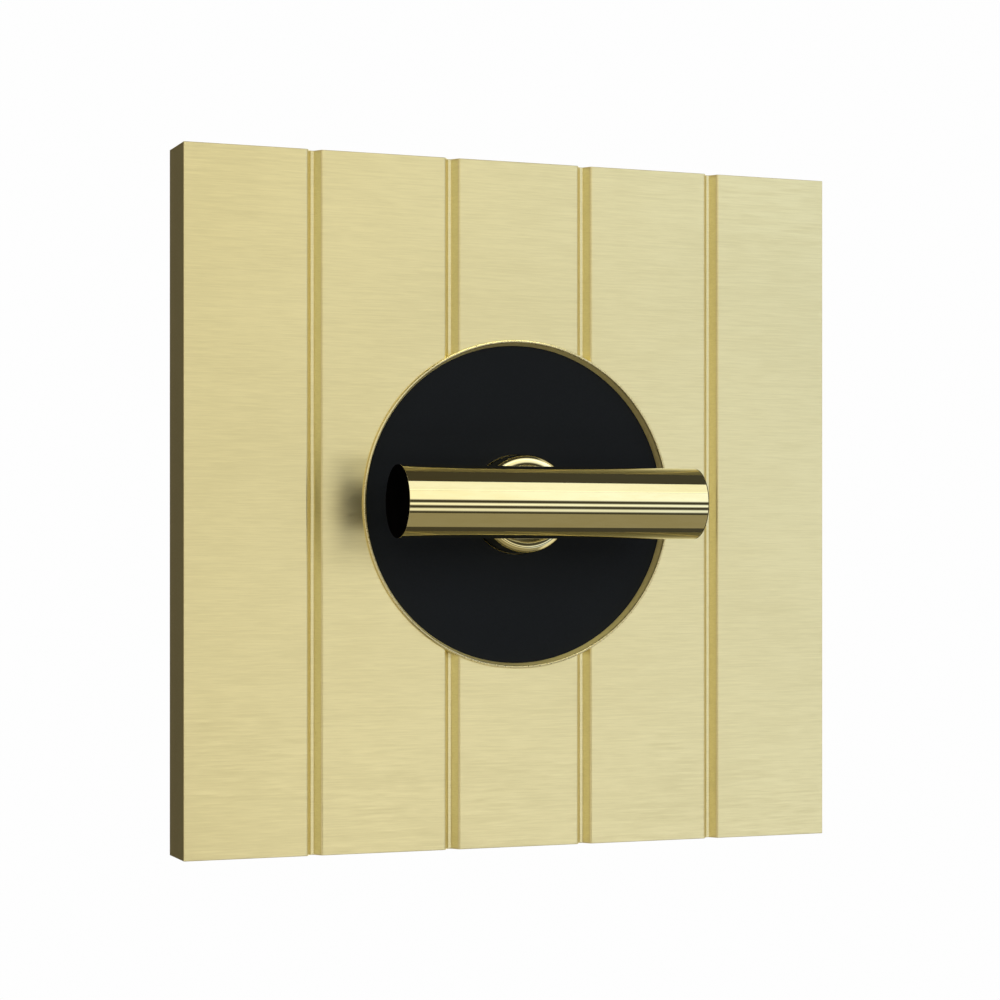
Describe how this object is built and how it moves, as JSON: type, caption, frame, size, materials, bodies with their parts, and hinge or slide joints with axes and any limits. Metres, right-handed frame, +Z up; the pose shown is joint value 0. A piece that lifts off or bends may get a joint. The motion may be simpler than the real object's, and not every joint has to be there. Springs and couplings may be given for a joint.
{
  "type": "toggle wall switch",
  "caption": "Square grooved brass wall switch with a round bar on a centre-off, spring-return lever, and the changeover mechanism behind its plate.",
  "frame": {"origin": "on the wall's surface, where the lever's centre line at rest meets it", "axes": "+Z up, the plate faces -Y, +Y goes into the wall, +X is to the right seen from the front"},
  "size_m": [0.086, 0.0534, 0.086],
  "materials": {
    "brushed_brass": "fine horizontal brushing, lacquered",
    "polished_brass": "mirror polish",
    "matte_black": "fine matte",
    "gloss_black": "satin black",
    "zinc": "die-cast zinc alloy",
    "steel": "bright zinc plate",
    "thermoset": "moulded thermoset",
    "nylon": "natural nylon",
    "terminal_brass": "machined",
    "copper": "rolled copper alloy",
    "silver": "silver contact face",
    "spring_steel": "drawn wire and strip"
  },
  "bodies": {
    "switch_base": {"face_plate": "brushed_brass", "rosette_cup": "brushed_brass", "black_insert": "matte_black", "collar_nut": "polished_brass", "mounting_frame": "steel", "lock_washer": "spring_steel", "lock_nut": "zinc", "bush_plate": "zinc", "earth_terminal": "terminal_brass", "earth_screw": "steel", "fixing_screw_left": "steel", "fixing_screw_right": "steel", "housing_cover": "thermoset", "housing_body": "thermoset", "case_screw_1": "steel", "case_screw_2": "steel", "case_screw_3": "steel", "case_screw_4": "steel", "upper_contact": "copper", "upper_terminal": "terminal_brass", "upper_terminal_screw": "steel", "lower_contact": "copper", "lower_terminal": "terminal_brass", "lower_terminal_screw": "steel", "common_contact": "copper", "common_terminal": "terminal_brass", "common_terminal_screw": "steel", "upper_return_spring": "spring_steel", "lower_return_spring": "spring_steel"},
    "lever": {"lever_stem": "polished_brass", "t_bar": "polished_brass", "end_plug_left": "gloss_black", "end_plug_right": "gloss_black", "grub_screw": "steel", "pivot_pin": "steel", "drive_ball": "nylon"},
    "contact_carriage": {"contact_slide": "nylon", "contact_spring": "spring_steel", "moving_contact": "copper", "contact_tip_left": "silver", "contact_tip_right": "silver"}
  },
  "joints": [
    {"name": "lever_tilt", "type": "hinge", "parent": "switch_base", "child": "lever", "pos_m": [0, 0.0021, 0], "axis": [1, 0, 0], "range_deg": [-12, 12], "stiffness_Nm_per_rad": 0.25},
    {"name": "contact_slide_travel", "type": "slide", "parent": "switch_base", "child": "contact_carriage", "axis": [0, 0, 1], "range_m": [-0.0022, 0.0022], "deforming": ["upper_return_spring", "lower_return_spring"]}
  ],
  "couplings": [
    {"joint": "contact_slide_travel", "follows": "lever_tilt", "m_per_rad": 0.01}
  ]
}
